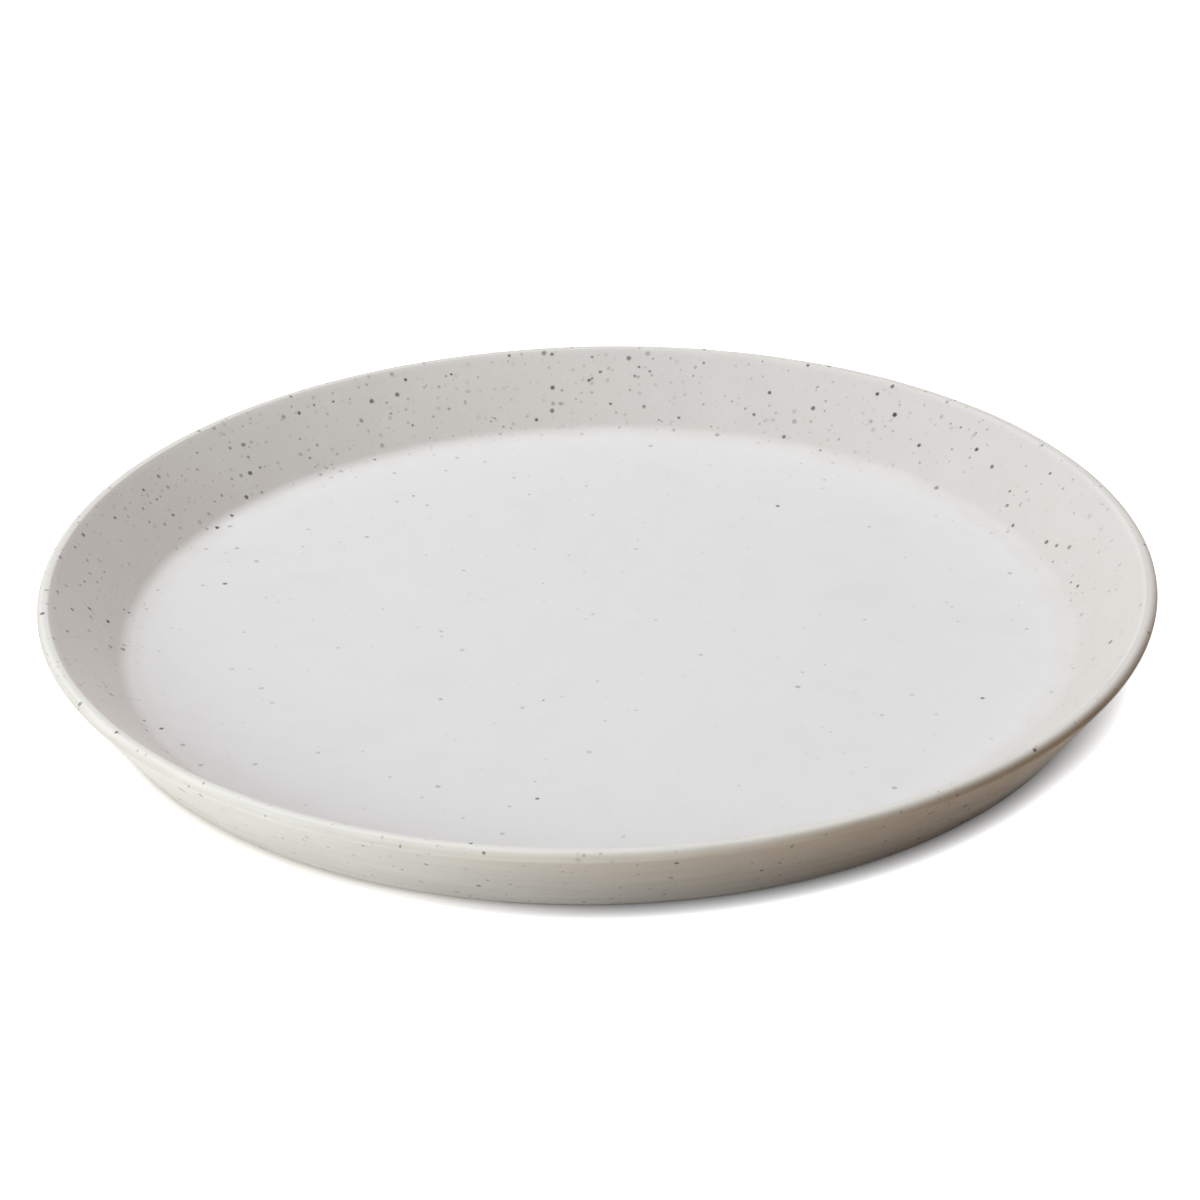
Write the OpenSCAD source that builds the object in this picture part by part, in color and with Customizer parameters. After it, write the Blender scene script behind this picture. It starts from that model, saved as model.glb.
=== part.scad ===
// Rimless dinner plate in speckled stoneware.
// A flat floor turns up through a short curve into a straight canted wall, whose lip is flat on top.
// The clay carries a thin glaze everywhere except on the foot that it stands on.
// Sizes are in millimetres. +Z is up, and the origin is at the middle of the standing face.

/* [Plate] */
// Diameter over the lip
plate_d = 270; // [240:1:300]
// Height from the table to the top of the lip
plate_h = 22.5; // [18:0.5:32]

/* [Wall] */
// Lean of the outer wall away from upright, in degrees
outer_lean = 36; // [24:1:42]
// Lean of the inner wall away from upright, in degrees
inner_lean = 47; // [40:1:54]

/* [Lip] */
// Width of the lip from its inner to its outer edge, glaze included
lip_t = 3.3; // [2.4:0.1:5]
// Radius of the lip's inner edge, glaze included
lip_in_r = 0.8; // [0.8:0.1:1.6]
// Radius of the lip's outer edge, glaze included
lip_out_r = 1; // [0.8:0.1:2.2]

/* [Well] */
// Height of the glazed floor above the table
floor_h = 6.6; // [5:0.1:9]
// Radius of the glazed curve between the floor and the wall
corner_r = 5; // [2:0.5:10]

/* [Foot] */
// Width of the bare standing face
foot_w = 6; // [3:0.5:14]
// Radius of the heel, between the standing face and the outer wall
heel_r = 1.4; // [0.8:0.1:3]
// Height of the recess inside the standing ring
recess_h = 1.8; // [1.2:0.1:2.6]
// Lean of the recess side away from upright, in degrees
recess_lean = 45; // [45:1:60]
// Radius of the toe, between the standing face and the recess side
toe_r = 0.8; // [0.5:0.1:1.2]
// Radius of the cove, between the recess side and its ceiling
cove_r = 1.6; // [1:0.1:2]

/* [Glaze] */
// Thickness of the glaze
glaze_t = 0.4; // [0.2:0.05:0.7]
// Height above the table at which the glaze stops, so that the foot stays bare
dry_h = 0.5; // [0.2:0.1:1]

/* [Hidden] */

// Fineness of the turned surface, and of the section's arcs in degrees
$fn = 144;
arc_step = 6;

// Radii and height of the bare clay under the glaze
clay_lip_in_r = lip_in_r - glaze_t;
clay_lip_out_r = lip_out_r - glaze_t;
clay_corner_r = corner_r + glaze_t;
clay_floor_h = floor_h - glaze_t;

// Centres of the section's arcs, as [radius, height]. Each straight side is tangent to the arcs at its ends.
lip_in_c = [plate_d / 2 - lip_t + lip_in_r, plate_h - lip_in_r];
lip_out_c = [plate_d / 2 - lip_out_r, plate_h - lip_out_r];
heel_c = [
    lip_out_c.x + (clay_lip_out_r - heel_r + (heel_r - lip_out_c.y) * sin(outer_lean)) / cos(outer_lean),
    heel_r
];
corner_h = floor_h + corner_r;
corner_c = [
    lip_in_c.x - (lip_in_r + corner_r + (lip_in_c.y - corner_h) * sin(inner_lean)) / cos(inner_lean),
    corner_h
];
toe_c = [heel_c.x - foot_w, toe_r];
cove_h = recess_h - cove_r;
cove_c = [
    toe_c.x - (toe_r + cove_r + (cove_h - toe_r) * sin(recess_lean)) / cos(recess_lean),
    cove_h
];

// Limits of the space under the plate, from the middle of the foot up into the slab
under_r = (heel_c.x + toe_c.x) / 2;
under_h = (clay_floor_h + recess_h) / 2;

// Points along an arc of the section, from one angle to another
function arc(centre, radius, start, end) =
    let (steps = ceil(abs(end - start) / arc_step))
    [
        for (i = [0 : steps])
            let (angle = start + (end - start) * i / steps)
            centre + radius * [cos(angle), sin(angle)]
    ];

// Half section with a coat of this thickness on the clay, from the floor over the lip to the base
function outline(coat) = concat(
    [[0, clay_floor_h + coat]],
    arc(corner_c, clay_corner_r - coat, -90, -inner_lean),
    arc(lip_in_c, clay_lip_in_r + coat, 180 - inner_lean, 90),
    arc(lip_out_c, clay_lip_out_r + coat, 90, -outer_lean),
    arc(heel_c, heel_r + coat, -outer_lean, -90),
    arc(toe_c, toe_r + coat, 270, 180 + recess_lean),
    arc(cove_c, cove_r - coat, recess_lean, 90),
    [[0, recess_h - coat]]
);

// Everything inside a radius and below a height
module space_below(radius, height) {
    translate([0, height - plate_h]) square([radius, plate_h]);
}

// Half section of all the glaze, wiped off the foot
module glaze_section() {
    difference() {
        polygon(outline(glaze_t));
        polygon(outline(0));
        space_below(plate_d, dry_h);
    }
}

// Fired clay: floor, wall, lip and standing ring in one piece
module stoneware_body() {
    color([0.72, 0.62, 0.50])
        rotate_extrude() polygon(outline(0));
}

// Glaze from the heel up the outer wall, over the lip and across the well
module glaze_coat() {
    color([0.90, 0.89, 0.86])
        rotate_extrude()
            difference() {
                glaze_section();
                space_below(under_r, under_h);
            }
}

// Glaze on the recessed underside, cut off from the main coat by the bare foot
module base_glaze() {
    color([0.86, 0.84, 0.79])
        rotate_extrude()
            intersection() {
                glaze_section();
                space_below(under_r, under_h);
            }
}

stoneware_body();
glaze_coat();
base_glaze();
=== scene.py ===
"""Looks of the rimless dinner plate: a speckled satin glaze over a stoneware body with a bare foot."""

import math

import bpy
import numpy as np
from mathutils import Matrix, Vector, noise


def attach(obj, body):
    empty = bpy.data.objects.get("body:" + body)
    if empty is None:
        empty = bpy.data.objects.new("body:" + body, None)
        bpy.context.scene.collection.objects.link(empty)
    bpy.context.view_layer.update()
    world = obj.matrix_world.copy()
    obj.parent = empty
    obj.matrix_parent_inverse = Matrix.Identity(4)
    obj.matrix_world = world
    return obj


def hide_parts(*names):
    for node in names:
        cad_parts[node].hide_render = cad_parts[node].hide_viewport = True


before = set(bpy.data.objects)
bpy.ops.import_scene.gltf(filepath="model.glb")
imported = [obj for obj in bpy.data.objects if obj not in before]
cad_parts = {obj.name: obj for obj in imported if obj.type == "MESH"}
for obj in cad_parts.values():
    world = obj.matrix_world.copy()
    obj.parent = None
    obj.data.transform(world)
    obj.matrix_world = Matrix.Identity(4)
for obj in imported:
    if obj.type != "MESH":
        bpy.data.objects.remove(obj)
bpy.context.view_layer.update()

# Sizes of the section in millimetres and degrees. They are the CAD's, but for the lip's outer edge, which is
# rounder here, and the lean of the outer wall, which follows from it so that the foot stays in place.
MM = 0.001
PLATE_D = 270
PLATE_H = 22.5
OUTER_LEAN = 37.47
INNER_LEAN = 47
LIP_T = 3.3
LIP_IN_R = 0.8
LIP_OUT_R = 1.8
FLOOR_H = 6.6
CORNER_R = 5
FOOT_W = 6
HEEL_R = 1.4
RECESS_H = 1.8
RECESS_LEAN = 45
TOE_R = 0.8
COVE_R = 1.6
GLAZE_T = 0.4
DRY_H = 0.5

# Fineness of the meshes, and the angle in degrees between two faces from which their edge shows as sharp
SEGMENTS = 288
ARC_POINTS = 60
BEAD_RINGS = 8
HIDDEN_STEP = 4
HEIGHT_TRIES = 4000
SHARP_ANGLE = 50

# Form of the glaze: the share by which it is thinner in places, the bead along its edge, how far that edge
# wanders back, and how far from it the glaze follows. Waves are in metres, the other lengths in millimetres.
GLAZE_THINNING = 0.22
GLAZE_WAVE = 19 * MM
GLAZE_SEED = 0.0
BEAD_LENGTH = 0.9
EDGE_WANDER = 0.35
EDGE_WAVE = 9 * MM
EDGE_SEED = 3.7
EDGE_FOLLOW = 8 * BEAD_LENGTH

# Share of the bake map's half width that the showing side takes, and where the hidden side goes
SHOWN_SHARE = 0.985
HIDDEN_MIDDLE = 0.084
HIDDEN_RADIUS = 0.075


def tangent_offset(lean, radii, height):
    """How far in from one circle's middle the next one's lies, with a side of this lean touching both.

    radii is the sum of their radii where the side passes between them, and otherwise the next one's less the
    first one's. height is how far down the next one's middle lies, or how far up on a side that rises.
    """
    angle = math.radians(lean)
    return (radii + height * math.sin(angle)) / math.cos(angle)


def arc(centre, radius, start, end, bulge):
    """Points along an arc of the section, and which way each faces. bulge is -1 where the clay is hollow."""
    angles = np.radians(np.linspace(start, end, ARC_POINTS))
    rays = np.stack([np.cos(angles), np.sin(angles)], 1)
    return np.array(centre) + radius * rays, bulge * rays


class Section:
    """The bare clay's half section, from the middle of the floor over the lip to the middle of the base."""

    def __init__(self):
        in_c = (PLATE_D / 2 - LIP_T + LIP_IN_R, PLATE_H - LIP_IN_R)
        out_c = (PLATE_D / 2 - LIP_OUT_R, PLATE_H - LIP_OUT_R)
        in_r = LIP_IN_R - GLAZE_T
        out_r = LIP_OUT_R - GLAZE_T
        heel_c = (out_c[0] - tangent_offset(OUTER_LEAN, HEEL_R - out_r, out_c[1] - HEEL_R), HEEL_R)
        corner_h = FLOOR_H + CORNER_R
        corner_c = (in_c[0] - tangent_offset(INNER_LEAN, LIP_IN_R + CORNER_R, in_c[1] - corner_h), corner_h)
        toe_c = (heel_c[0] - FOOT_W, TOE_R)
        cove_h = RECESS_H - COVE_R
        cove_c = (toe_c[0] - tangent_offset(RECESS_LEAN, TOE_R + COVE_R, cove_h - TOE_R), cove_h)
        arcs = {
            "corner": arc(corner_c, CORNER_R + GLAZE_T, -90, -INNER_LEAN, -1),
            "lip_in": arc(in_c, in_r, 180 - INNER_LEAN, 90, 1),
            "lip_out": arc(out_c, out_r, 90, -OUTER_LEAN, 1),
            "heel": arc(heel_c, HEEL_R, -OUTER_LEAN, -90, 1),
            "toe": arc(toe_c, TOE_R, 270, 180 + RECESS_LEAN, 1),
            "cove": arc(cove_c, COVE_R, RECESS_LEAN, 90, -1),
        }
        places = [[(0, FLOOR_H - GLAZE_T)]] + [a[0] for a in arcs.values()] + [[(0, RECESS_H)]]
        facings = [[(0, 1)]] + [a[1] for a in arcs.values()] + [[(0, -1)]]
        self.places = np.concatenate(places)
        self.facings = np.concatenate(facings)
        steps = np.linalg.norm(np.diff(self.places, axis=0), axis=1)
        self.along = np.concatenate([[0], np.cumsum(steps)])
        self.length = self.along[-1]
        self.spans = {}
        for i, name in enumerate(arcs):
            first = 1 + i * ARC_POINTS
            self.spans[name] = (self.along[first], self.along[first + ARC_POINTS - 1])

    def at(self, along):
        """Radius, height and facing of the clay at these distances along the section."""
        columns = (*self.places.T, *self.facings.T)
        radius, height, face_r, face_z = (np.interp(along, self.along, c) for c in columns)
        size = np.hypot(face_r, face_z)
        return radius, height, face_r / size, face_z / size

    def reach(self, height, start, end):
        """Distance along the section at which a stretch of it crosses a height."""
        tries = np.linspace(start, end, HEIGHT_TRIES)
        return tries[np.argmin(np.abs(self.at(tries)[1] - height))]


clay = Section()
corner, lip_in, lip_out, heel, toe, cove = clay.spans.values()
HEEL_EDGE = clay.reach(DRY_H, lip_out[1], heel[1])
TOE_EDGE = clay.reach(DRY_H, toe[0], cove[1])
TURN = np.linspace(0, 2 * math.pi, SEGMENTS, endpoint=False)


def on_edge(share):
    """Distance along the section at this share of the lip's outer edge."""
    return lip_out[0] + share * (lip_out[1] - lip_out[0])


def stations(*stretches):
    """Distances along the section, from stretches of (start, end, steps) that follow on from each other."""
    parts = [np.linspace(start, end, steps, endpoint=False) for start, end, steps in stretches]
    return np.concatenate(parts + [[stretches[-1][1]]])


def wavy(radius, height, wave, seed):
    """Smooth noise from 0 to 1 at places on the turned surface, given in millimetres."""
    x = radius * np.cos(TURN) * MM / wave
    y = radius * np.sin(TURN) * MM / wave
    z = height * MM / wave + seed
    flat = [noise.noise(Vector(p)) for p in zip(x.ravel(), y.ravel(), z.ravel())]
    return np.clip(0.5 + 0.5 * np.array(flat).reshape(radius.shape), 0, 1)


def per_vertex(grid):
    """Values by vertex, from a row for each ring. The first and last rings are one vertex each."""
    middle = grid[1:-1].reshape(-1, *grid.shape[2:])
    return np.concatenate([grid[:1, 0], middle, grid[-1:, 0]])


def add_bake_map(mesh, grid, shown_rings, loop_shown):
    """Adds the map for baking: a disc without a seam for the showing side, and a small one for the rest."""
    rays = np.stack([np.cos(TURN), np.sin(TURN)], 1)
    travelled = np.concatenate([[0], np.cumsum(np.linalg.norm(np.diff(grid[:, 0], axis=0), axis=1))])
    out = travelled / travelled[shown_rings]
    back = (travelled[-1] - travelled) / (travelled[-1] - travelled[shown_rings])
    shown_map = per_vertex(0.5 + 0.5 * SHOWN_SHARE * out[:, None, None] * rays)
    hidden_map = per_vertex(HIDDEN_MIDDLE + HIDDEN_RADIUS * back[:, None, None] * rays * [1, -1])
    loop_vertices = np.zeros(len(mesh.loops), int)
    mesh.loops.foreach_get("vertex_index", loop_vertices)
    places = np.where(loop_shown[:, None], shown_map[loop_vertices], hidden_map[loop_vertices])
    bake_map = mesh.uv_layers.new(name="OFBake")
    bake_map.uv.foreach_set("vector", places.astype(np.float32).ravel())


def turned_mesh(name, along, coat, shown_rings, cover):
    """A closed turned mesh whose rings lie at these distances along the clay, each raised by its coat.

    along and coat hold a row for each ring and a column for each segment, and the first and last rings stand
    for the points on the axis. Rings up to shown_rings show. The rest lies against another piece. cover says
    how well the glaze hides the clay, and down the outer wall it also carries painted shade.
    """
    radius, height, face_r, face_z = clay.at(along)
    radius = np.maximum(radius + coat * face_r, 0)
    height = height + coat * face_z
    x = radius * np.cos(TURN) * MM
    y = radius * np.sin(TURN) * MM
    grid = np.stack([x, y, height * MM], 2)
    ring_count = len(grid)
    points = per_vertex(grid)

    def index(ring, segment):
        if ring == 0:
            return 0
        if ring == ring_count - 1:
            return len(points) - 1
        return 1 + (ring - 1) * SEGMENTS + segment % SEGMENTS

    faces = []
    shown = []
    for ring in range(ring_count - 1):
        for k in range(SEGMENTS):
            corners = [index(ring, k), index(ring + 1, k), index(ring + 1, k + 1), index(ring, k + 1)]
            faces.append(list(dict.fromkeys(corners)))
            shown.append(ring < shown_rings)
    mesh = bpy.data.meshes.new(name)
    mesh.from_pydata(points.tolist(), [], faces)
    mesh.polygons.foreach_set("use_smooth", np.ones(len(faces), bool))
    mesh.set_sharp_from_angle(angle=math.radians(SHARP_ANGLE))
    add_bake_map(mesh, grid, shown_rings, np.repeat(shown, [len(f) for f in faces]))
    values = per_vertex(np.broadcast_to(cover, radius.shape))
    mesh.attributes.new("cover", "FLOAT", "POINT").data.foreach_set("value", values.astype(np.float32))
    piece = bpy.data.objects.new(name, mesh)
    bpy.context.scene.collection.objects.link(piece)
    return piece


def glaze_skin(name, start, rings, edge, cover_marks):
    """A glaze that runs along the clay from the axis to a beaded, wandering edge, and back under itself."""
    way = math.copysign(1, edge - start)
    inner = edge - way * BEAD_LENGTH
    bead = np.linspace(0, math.pi / 2, BEAD_RINGS + 1)[1:]
    shown_line = np.concatenate([rings, inner + way * BEAD_LENGTH * np.sin(bead)])
    hidden_line = rings[::-HIDDEN_STEP][:-1]
    line = np.concatenate([shown_line, hidden_line, [start]])
    thickness = np.concatenate([np.ones(len(rings)), np.cos(bead), np.zeros(len(hidden_line) + 1)])

    # The edge wanders back from the wiped foot, and takes the rings near it along
    foot_r, foot_h = clay.at(np.full((1, SEGMENTS), edge))[:2]
    wander = EDGE_WANDER * wavy(foot_r, foot_h, EDGE_WAVE, EDGE_SEED)
    near = np.clip(1 - np.abs(line - edge) / EDGE_FOLLOW, 0, 1)
    along = line[:, None] - way * near[:, None] * wander

    radius, height = clay.at(along)[:2]
    thinning = 1 - GLAZE_THINNING * wavy(radius, height, GLAZE_WAVE, GLAZE_SEED)
    coat = GLAZE_T * thickness[:, None] * thinning
    cover = np.interp(line * way, *zip(*((at * way, value) for at, value in cover_marks)))
    return turned_mesh(name, along, coat, len(shown_line) - 1, cover[:, None])


# The glaze covers the clay best where it pools on the floor, less on the lip's outer edge, and least at the
# foot. Down the outer wall it also darkens towards the foot, as painted shade near the floor. A mark of the
# cover is a distance along the section in millimetres, and the cover there.
coat_rings = stations(
    (0, corner[0], 30),
    (*corner, 14),
    (corner[1], lip_in[0], 16),
    (*lip_in, 10),
    (lip_in[1], lip_out[0], 4),
    (*lip_out, 18),
    (lip_out[1], HEEL_EDGE - BEAD_LENGTH, 20),
)
coat_cover_and_painted_shade = [
    (0, 1.0),
    (corner[0] - 2, 1.0),
    (corner[1], 0.8),
    (lip_in[0] - 1, 0.78),
    (lip_in[1], 0.66),
    (lip_out[0], 0.62),
    (on_edge(0.2), 0.6),
    (on_edge(0.3), 0.41),
    (on_edge(0.7), 0.34),
    # Down the outer wall the glaze darkens towards the foot as painted shade near the floor, then ends at
    # the dry foot
    (lip_out[1], 0.53),
    (lip_out[1] + 8, 0.5),
    (HEEL_EDGE - 2, 0.42),
    (HEEL_EDGE, 0.28),
]
plate_glaze = glaze_skin("plate_glaze", 0, coat_rings, HEEL_EDGE, coat_cover_and_painted_shade)

base_rings = stations(
    (clay.length, cove[1], 26),
    (cove[1], cove[0], 10),
    (cove[0], TOE_EDGE + BEAD_LENGTH, 4),
)
base_cover = [
    (clay.length, 0.46),
    (cove[1], 0.52),
    (TOE_EDGE, 0.28),
]
plate_base_glaze = glaze_skin("plate_base_glaze", clay.length, base_rings, TOE_EDGE, base_cover)

clay_rings = stations(
    (0, corner[0], 8),
    (*corner, 6),
    (corner[1], lip_in[0], 2),
    (*lip_in, 4),
    (lip_in[1], lip_out[0], 1),
    (*lip_out, 8),
    (lip_out[1], heel[0], 6),
    (*heel, 12),
    (heel[1], toe[0], 14),
    (*toe, 10),
    (toe[1], cove[0], 4),
    (*cove, 6),
    (cove[1], clay.length, 8),
)
whole_turn = np.repeat(clay_rings[:, None], SEGMENTS, 1)
plate_clay = turned_mesh("plate_clay", whole_turn, np.zeros_like(whole_turn), len(clay_rings) - 2, 0.0)

for piece, node, slot in (
    (plate_glaze, "glaze_coat", "speckled_glaze"),
    (plate_base_glaze, "base_glaze", "base_glaze"),
    (plate_clay, "stoneware_body", "stoneware"),
):
    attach(piece, "root")
    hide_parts(node)

# Sockets of the Mix node that take and give colours
MIX_FACTOR = 0
MIX_FIRST = 6
MIX_SECOND = 7
MIX_RESULT = 2

WHITE = (1, 1, 1, 1)


def connect(tree, socket, value):
    """Links a socket to another one, or sets its value."""
    if isinstance(value, bpy.types.NodeSocket):
        tree.links.new(value, socket)
    else:
        socket.default_value = value


def add(tree, kind, options=(), **inputs):
    """A new shader node. An input that is a socket is linked to it, and anything else is its value."""
    made = tree.nodes.new("ShaderNode" + kind)
    for name, value in dict(options).items():
        setattr(made, name, value)
    for name, value in inputs.items():
        connect(tree, made.inputs[name.replace("_", " ")], value)
    return made


def maths(tree, operation, *values, clamp=False):
    """One sum on numbers."""
    made = add(tree, "Math", {"operation": operation, "use_clamp": clamp})
    for socket, value in zip(made.inputs, values):
        connect(tree, socket, value)
    return made.outputs[0]


def vector_maths(tree, operation, *values):
    """The outputs of one sum on vectors. The first is a vector, and the one named Value is a number."""
    made = add(tree, "VectorMath", {"operation": operation})
    for socket, value in zip(made.inputs, values):
        connect(tree, socket, value)
    return made.outputs


def ranged(tree, value, low, high, to_low=0.0, to_high=1.0, smooth=False):
    """A number moved from one range to another, and held inside it."""
    kind = "SMOOTHSTEP" if smooth else "LINEAR"
    made = add(tree, "MapRange", {"interpolation_type": kind}, Value=value)
    for name, bound in (("From Min", low), ("From Max", high), ("To Min", to_low), ("To Max", to_high)):
        connect(tree, made.inputs[name], bound)
    return made.outputs[0]


def mixed(tree, factor, first, second, mode="MIX"):
    """Two colours mixed."""
    made = add(tree, "Mix", {"data_type": "RGBA", "blend_type": mode})
    connect(tree, made.inputs[MIX_FACTOR], factor)
    connect(tree, made.inputs[MIX_FIRST], first)
    connect(tree, made.inputs[MIX_SECOND], second)
    return made.outputs[MIX_RESULT]


def ramp(tree, value, stops):
    """A colour looked up between stops of (place, colour)."""
    made = add(tree, "ValToRGB", Fac=value)
    elements = made.color_ramp.elements
    while len(elements) < len(stops):
        elements.new(1.0)
    for element, (place, colour) in zip(elements, stops):
        element.position = place
        element.color = (*colour, 1)
    return made.outputs[0]


def cloudy(tree, place, size, detail=2.0):
    """Noise from 0 to 1 whose clouds have this size in metres."""
    return add(tree, "TexNoise", Vector=place, Scale=1 / size, Detail=detail).outputs[0]


def bumped(tree, shader, height):
    """Gives a shader's surface this height in metres."""
    bump = add(tree, "Bump", Height=height, Strength=1.0, Distance=1.0)
    connect(tree, shader.inputs["Normal"], bump.outputs[0])


# How far small specks outnumber large ones, and how much of a speck's depth comes from its size and how much
# from chance
SMALL_SPECKS = 1.6
DEPTH_BY_SIZE = 0.3
DEPTH_BY_CHANCE = 0.7


def specks(tree, place, share, cell, smallest, largest, faintest, core):
    """Round specks, one at most in each cell. share is how many of the cells hold one. Sizes are in metres.

    Small and faint ones are the most common, and a large one tends to be deep. faintest is the depth of the
    faintest, and core is the share of the radius that is dark all over.
    """
    cells = add(tree, "TexVoronoi", Vector=place, Scale=1 / cell)
    by_size, by_cell, by_depth = add(tree, "SeparateColor", Color=cells.outputs["Color"]).outputs
    spread = maths(tree, "POWER", by_size, SMALL_SPECKS)
    radius = ranged(tree, spread, 0, 1, smallest / cell, largest / cell)
    out = maths(tree, "DIVIDE", cells.outputs["Distance"], radius)
    present = maths(tree, "LESS_THAN", by_cell, share)
    chance = maths(tree, "MULTIPLY", by_depth, DEPTH_BY_CHANCE)
    strength = maths(tree, "MULTIPLY_ADD", by_size, DEPTH_BY_SIZE, chance)
    depth = maths(tree, "POWER", faintest, maths(tree, "SUBTRACT", 1.0, strength))
    body = ranged(tree, out, 1.0, core, smooth=True)
    return maths(tree, "MULTIPLY", body, maths(tree, "MULTIPLY", present, depth))


def material(name):
    """A new material, its node tree and its main shader."""
    made = bpy.data.materials.new(name)
    made.use_nodes = True
    return made, made.node_tree, made.node_tree.nodes["Principled BSDF"]


# Colours of the glaze from thin to thick, and of the iron that stains it
GLAZE_STOPS = (
    (0.0, (0.40, 0.29, 0.20)),
    (0.20, (0.50, 0.43, 0.36)),
    (0.40, (0.69, 0.665, 0.625)),
    (0.52, (0.735, 0.715, 0.68)),
    (0.64, (0.70, 0.685, 0.66)),
    (0.80, (0.628, 0.6, 0.578)),
    (1.0, (0.725, 0.727, 0.732)),
)
IRON_BLACK = (0.035, 0.028, 0.024, 1)
IRON_BROWN = (0.16, 0.11, 0.075, 1)

# Clouds in the glaze, and how far they move its cover either way
CLOUD_SIZE = 14 * MM
CLOUD_RANGE = (0.25, 0.75)
CLOUD_DRIFT = 0.03

# Bands left by turning: noise drawn out sideways, its shades, and the cover over which it comes to show
BAND_STRETCH = (0.06, 0.06, 1.0)
BAND_SIZE = 1.6 * MM
BAND_DETAIL = 3.0
BAND_RANGE = (0.3, 0.75)
BAND_SHADES = (1.05, 0.91)
BAND_COVER = (0.56, 0.44)

# Three kinds of specks, and how often each comes
FRECKLE = {"cell": 2.1 * MM, "smallest": 0.33 * MM, "largest": 0.62 * MM, "faintest": 0.06, "core": 0.3}
SMUDGE = {"cell": 2.5 * MM, "smallest": 0.55 * MM, "largest": 1.0 * MM, "faintest": 0.05, "core": 0.3}
SPOT = {"cell": 3.4 * MM, "smallest": 0.5 * MM, "largest": 0.9 * MM, "faintest": 0.6, "core": 0.5}
FRECKLE_TIMES = 1.8
SMUDGE_TIMES = 0.7
SPOT_POWER = 2.0

# Wobble that draws the specks out of round
WOBBLE_SIZE = 1.1 * MM
WOBBLE_REACH = 0.5 * MM

# The cover over which thick glaze gives way to thin, with the specks' depth and share on the two sides
VEIL_COVER = (1.0, 0.85)
VEIL_DEPTH = (0.8, 1.0)
VEIL_SHARE = (0.18, 1.0)

# The side of the plate to which its specks lie closer together, with their share in the middle and out there
SPECKLED_WAY = (-0.5, 0.87, 0)
SPECKLED_REACH = (0.0, 125 * MM)
SPECKLED_SHARE = (0.28, 0.8)

# Gloss of the glaze: roughness of the satin, and what thin glaze and specks add to it
SATIN_SIZE = 5 * MM
SATIN_RANGE = (0.3, 0.7)
SATIN_ROUGHNESS = (0.58, 0.68)
DRY_COVER = (0.45, 0.15)
DRY_ROUGHNESS = 0.12
SPECK_ROUGHNESS = 0.12
SPECULAR = 0.35

# Relief of the glaze in metres
DIMPLE_SIZE = 2.4 * MM
DIMPLE_HEIGHT = 0.02 * MM
GRAIN_SIZE = 0.5 * MM
GRAIN_HEIGHT = 0.002 * MM
SPECK_HEIGHT = 0.015 * MM


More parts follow.
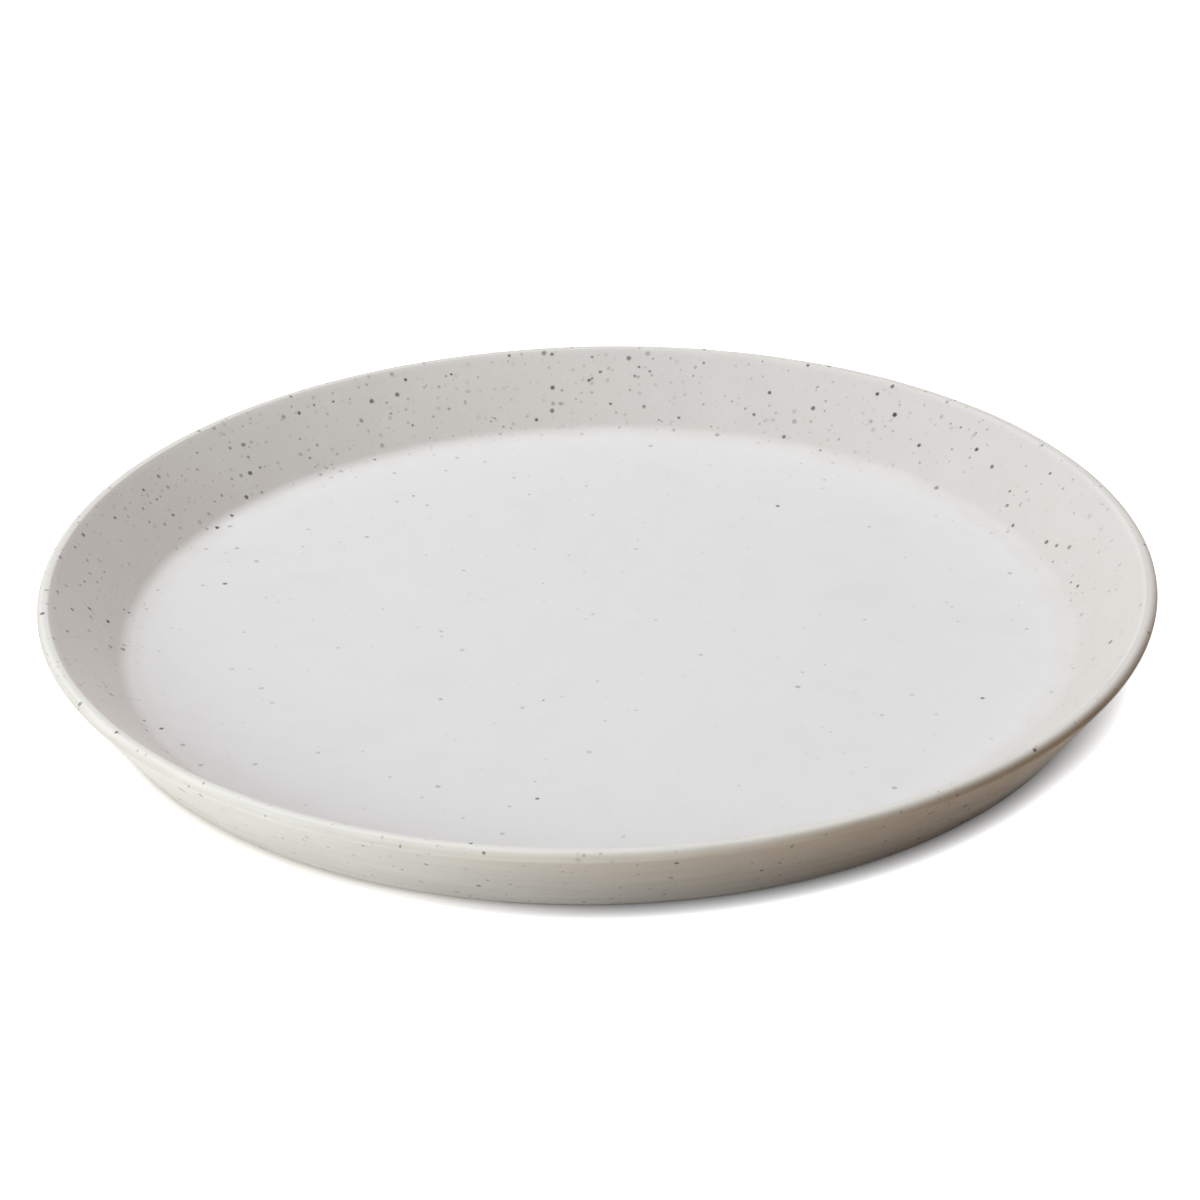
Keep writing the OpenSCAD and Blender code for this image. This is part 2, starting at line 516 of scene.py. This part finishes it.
def glaze_material(name):
    """Satin glaze over iron-bearing clay. Thin glaze breaks warm, and thick glaze veils the specks."""
    made, tree, shader = material(name)
    place = add(tree, "TexCoord").outputs["Object"]
    cover = add(tree, "Attribute", {"attribute_name": "cover"}).outputs["Fac"]

    drift = ranged(tree, cloudy(tree, place, CLOUD_SIZE), *CLOUD_RANGE, -CLOUD_DRIFT, CLOUD_DRIFT)
    covered = maths(tree, "ADD", cover, drift, clamp=True)
    colour = ramp(tree, covered, GLAZE_STOPS)

    # Faint bands left by turning, which show where the glaze is thin
    bands_at = add(tree, "Mapping", Vector=place, Scale=BAND_STRETCH).outputs[0]
    bands = cloudy(tree, bands_at, BAND_SIZE, BAND_DETAIL)
    band_shade = ranged(tree, bands, *BAND_RANGE, *BAND_SHADES)
    shade = add(tree, "CombineColor", Red=band_shade, Green=band_shade, Blue=band_shade).outputs[0]
    banded = mixed(tree, 1.0, colour, shade, "MULTIPLY")
    colour = mixed(tree, ranged(tree, cover, *BAND_COVER), colour, banded)

    # Iron specks, fewer and fainter under thick glaze, and closer together on one side of the plate
    wobble = add(tree, "TexNoise", Vector=place, Scale=1 / WOBBLE_SIZE).outputs["Color"]
    centred = vector_maths(tree, "SUBTRACT", wobble, (0.5, 0.5, 0.5))[0]
    speck_at = vector_maths(tree, "MULTIPLY_ADD", centred, [WOBBLE_REACH] * 3, place)[0]
    veil = ranged(tree, cover, *VEIL_COVER, *VEIL_DEPTH)
    fewer = ranged(tree, cover, *VEIL_COVER, *VEIL_SHARE)
    across = vector_maths(tree, "DOT_PRODUCT", place, SPECKLED_WAY)["Value"]
    share = maths(tree, "MULTIPLY", fewer, ranged(tree, across, *SPECKLED_REACH, *SPECKLED_SHARE))
    freckles = specks(tree, speck_at, maths(tree, "MULTIPLY", share, FRECKLE_TIMES), **FRECKLE)
    smudges = specks(tree, speck_at, maths(tree, "MULTIPLY", share, SMUDGE_TIMES), **SMUDGE)
    spots = specks(tree, speck_at, maths(tree, "POWER", share, SPOT_POWER), **SPOT)
    dark = maths(tree, "MAXIMUM", smudges, spots)
    colour = mixed(tree, maths(tree, "MULTIPLY", freckles, veil), colour, IRON_BROWN)
    colour = mixed(tree, maths(tree, "MULTIPLY", dark, veil), colour, IRON_BLACK)
    connect(tree, shader.inputs["Base Color"], colour)

    # Satin gloss, drier on the specks and where the glaze is thin
    satin = ranged(tree, cloudy(tree, place, SATIN_SIZE), *SATIN_RANGE, *SATIN_ROUGHNESS)
    dry = ranged(tree, covered, *DRY_COVER, 0.0, DRY_ROUGHNESS)
    on_specks = maths(tree, "MULTIPLY", dark, SPECK_ROUGHNESS)
    rough = maths(tree, "ADD", maths(tree, "ADD", satin, dry), on_specks)
    connect(tree, shader.inputs["Roughness"], rough)
    shader.inputs["Specular IOR Level"].default_value = SPECULAR

    # A slightly dimpled surface, with the specks a little proud of it
    dimples = maths(tree, "MULTIPLY", cloudy(tree, place, DIMPLE_SIZE), DIMPLE_HEIGHT)
    grain = maths(tree, "MULTIPLY", cloudy(tree, place, GRAIN_SIZE), GRAIN_HEIGHT)
    lumps = maths(tree, "MULTIPLY", dark, SPECK_HEIGHT)
    bumped(tree, shader, maths(tree, "ADD", maths(tree, "ADD", dimples, grain), lumps))
    return made


# Bare clay: its sand, its lighter and darker patches, its pores and its iron
SAND_SIZE = 0.7 * MM
SAND_DETAIL = 4.0
SAND_HEIGHT = 0.12 * MM
SAND_RANGE = (0.3, 0.7)
SAND_ROUGHNESS = (0.72, 0.92)
PATCH_SIZE = 9 * MM
PATCH_DARK = (0.50, 0.40, 0.29, 1)
PATCH_LIGHT = (0.60, 0.50, 0.38, 1)
PORE_RANGE = (0.45, 0.7)
PORE_COLOUR = (0.38, 0.28, 0.19, 1)
IRON_GRAIN = {"cell": 2.6 * MM, "smallest": 0.15 * MM, "largest": 0.5 * MM, "faintest": 0.4, "core": 0.3}
IRON_SHARE = 0.6


def clay_material(name):
    """Bare fired clay: sandy, matt, and darker in its pores."""
    made, tree, shader = material(name)
    place = add(tree, "TexCoord").outputs["Object"]
    sand = cloudy(tree, place, SAND_SIZE, SAND_DETAIL)
    patches = mixed(tree, cloudy(tree, place, PATCH_SIZE), PATCH_DARK, PATCH_LIGHT)
    colour = mixed(tree, ranged(tree, sand, *PORE_RANGE), patches, PORE_COLOUR)
    colour = mixed(tree, specks(tree, place, IRON_SHARE, **IRON_GRAIN), colour, IRON_BLACK)
    connect(tree, shader.inputs["Base Color"], colour)
    connect(tree, shader.inputs["Roughness"], ranged(tree, sand, *SAND_RANGE, *SAND_ROUGHNESS))
    bumped(tree, shader, maths(tree, "MULTIPLY", sand, SAND_HEIGHT))
    return made


plate_glaze.data.materials.append(glaze_material("speckled_satin_glaze"))
plate_base_glaze.data.materials.append(glaze_material("thin_satin_glaze"))
plate_clay.data.materials.append(clay_material("sandy_stoneware"))

# Floor: a pale sheet that the camera and reflections see as white, with the plate's shadow kept on it.
# What it throws back onto the plate is painted light and shade: light on the left, warmer and darker on the
# right, and darkest close to the plate as a painted shadow.
# Lengths are in metres. A turn is the stretch across the picture over which the left gives way to the right.
FLOOR_SIZE = 14.0
BOUNCE_LEFT_PAINTED_LIGHT = (0.59, 0.565, 0.52, 1)
BOUNCE_NEAR_PAINTED_SHADOW = (0.13, 0.082, 0.04, 1)
BOUNCE_FAR = (0.46, 0.31, 0.17, 1)
BOUNCE_TURN = (-0.10, 0.03)
BOUNCE_FADE = (0.122, 0.18)
# The floor's colour as the camera sees it under the lamps, darker on the right as painted shade
SEEN_LEFT = (1.0, 0.96, 0.94, 1)
SEEN_RIGHT_PAINTED_SHADE = (0.38, 0.37, 0.38, 1)
SEEN_TURN = (-0.05, 0.01)
# The floor's own light fades close to the plate, from further out on the right, and keeps the line of
# contact dark. It looks for the plate upwards and a little to the back, so it fades most at the front.
CONTACT_REACH = (5 * MM, 7.5 * MM)
CONTACT_TURN = (0.10, 0.13)
CONTACT_TILT = (0, 0.5, 0)
CONTACT_SAMPLES = 16


def seen_directly(tree):
    """1 for rays from the camera, and for reflections and see-through rays that show what it would."""
    path = add(tree, "LightPath").outputs
    shiny = maths(tree, "MAXIMUM", path["Is Glossy Ray"], path["Is Transmission Ray"])
    return maths(tree, "MAXIMUM", path["Is Camera Ray"], shiny)


def chosen(tree, lighting, showing):
    """One shader where rays carry light to the plate, and another where they show what is seen."""
    made = add(tree, "MixShader", Fac=seen_directly(tree))
    connect(tree, made.inputs[1], lighting.outputs[0])
    connect(tree, made.inputs[2], showing.outputs[0])
    return made.outputs[0]


def floor_material():
    """White to the camera but for the plate's shadow. Towards the plate it throws back painted light and
    shade.
    """
    made = bpy.data.materials.new("pale_floor")
    made.use_nodes = True
    tree = made.node_tree
    tree.nodes.clear()
    place = add(tree, "TexCoord").outputs["Object"]
    across = add(tree, "SeparateXYZ", Vector=place).outputs["X"]

    from_axis = vector_maths(tree, "LENGTH", place)["Value"]
    # Painted light and shade in what is thrown back: lit on the left, a painted shadow near the plate on the
    # right
    right = mixed(tree, ranged(tree, from_axis, *BOUNCE_FADE, smooth=True), BOUNCE_NEAR_PAINTED_SHADOW, BOUNCE_FAR)
    bounce_side = ranged(tree, across, *BOUNCE_TURN, smooth=True)
    bounce = add(tree, "BsdfDiffuse", Color=mixed(tree, bounce_side, BOUNCE_LEFT_PAINTED_LIGHT, right))

    # Painted shade: the floor as the camera sees it is darker on the right
    seen_side = ranged(tree, across, *SEEN_TURN, smooth=True)
    seen = add(tree, "BsdfDiffuse", Color=mixed(tree, seen_side, SEEN_LEFT, SEEN_RIGHT_PAINTED_SHADE))
    tilted = vector_maths(tree, "ADD", add(tree, "NewGeometry").outputs["Normal"], CONTACT_TILT)[0]
    aimed = vector_maths(tree, "NORMALIZE", tilted)[0]
    reach = ranged(tree, across, *CONTACT_TURN, *CONTACT_REACH, smooth=True)
    contact = add(tree, "AmbientOcclusion", {"samples": CONTACT_SAMPLES}, Distance=reach, Normal=aimed)
    lift = add(tree, "Emission", Color=WHITE, Strength=contact.outputs["AO"])
    bright = add(tree, "AddShader")
    connect(tree, bright.inputs[0], seen.outputs[0])
    connect(tree, bright.inputs[1], lift.outputs[0])
    add(tree, "OutputMaterial", Surface=chosen(tree, bounce, bright))
    return made


half = FLOOR_SIZE / 2
floor_corners = [(-half, -half, 0), (half, -half, 0), (half, half, 0), (-half, half, 0)]
floor_mesh = bpy.data.meshes.new("floor")
floor_mesh.from_pydata(floor_corners, [], [(0, 1, 2, 3)])
floor_mesh.materials.append(floor_material())
floor = bpy.data.objects.new("floor", floor_mesh)
bpy.context.scene.collection.objects.link(floor)

# Light: a low soft box at the front left, a large one high up at the back, and a weak, warm surround.
# A lamp has its name, its place and size in metres, its power in watts and its tint.
SURROUND = 0.085
SURROUND_TINT = (1.0, 0.66, 0.36, 1)
LAMPS = (
    ("left_softbox", (-0.722, -0.763, 0.311), (0.675, 0.567), 10.0, (0.92, 1.0, 1.02)),
    ("back_softbox", (-0.074, 0.853, 1.836), (1.35, 1.35), 35.2, (0.99, 1.0, 1.02)),
)
AIM = Vector((0, 0, 0.01))
for name, place, size, power, tint in LAMPS:
    lamp = bpy.data.lights.new(name, "AREA")
    lamp.shape = "RECTANGLE"
    lamp.size, lamp.size_y = size
    lamp.energy = power
    lamp.color = tint
    holder = bpy.data.objects.new(name, lamp)
    holder.location = place
    holder.rotation_euler = (AIM - Vector(place)).to_track_quat("-Z", "Y").to_euler()
    bpy.context.scene.collection.objects.link(holder)

world = bpy.data.worlds.new("surround")
world.use_nodes = True
sky = world.node_tree
sky.nodes.clear()
even = add(sky, "Background", Color=SURROUND_TINT, Strength=SURROUND)
white = add(sky, "Background", Color=WHITE, Strength=1.0)
add(sky, "OutputWorld", Surface=chosen(sky, even, white))
bpy.context.scene.world = world
bpy.context.scene.view_settings.view_transform = "Standard"

# Camera: where it stood, from the ellipses of the rim, the lip and the foot in a picture 1200 pixels wide.
# The distance is in metres, and the angles are in radians.
PICTURE_PX = 1200
FOCAL_PX = 5255.7
SENSOR_MM = 36
CAMERA_DISTANCE = 1.2805
CAMERA_ELEVATION = math.radians(27.762)
CAMERA_YAW = -0.000555
CAMERA_PITCH = 0.01082
CAMERA_ROLL = -0.02043

camera_data = bpy.data.cameras.new("camera")
camera_data.sensor_width = SENSOR_MM
camera_data.lens = FOCAL_PX / PICTURE_PX * SENSOR_MM
camera = bpy.data.objects.new("camera", camera_data)
bpy.context.scene.collection.objects.link(camera)
camera_place = CAMERA_DISTANCE * Vector((0, -math.cos(CAMERA_ELEVATION), math.sin(CAMERA_ELEVATION)))
towards_plate = Matrix.Rotation(math.pi / 2 - CAMERA_ELEVATION, 4, "X")
turn = Matrix.Rotation(CAMERA_YAW, 4, "Y") @ Matrix.Rotation(CAMERA_PITCH, 4, "X")
camera.matrix_world = (
    Matrix.Translation(camera_place) @ towards_plate @ turn @ Matrix.Rotation(CAMERA_ROLL, 4, "Z")
)
bpy.context.scene.camera = camera
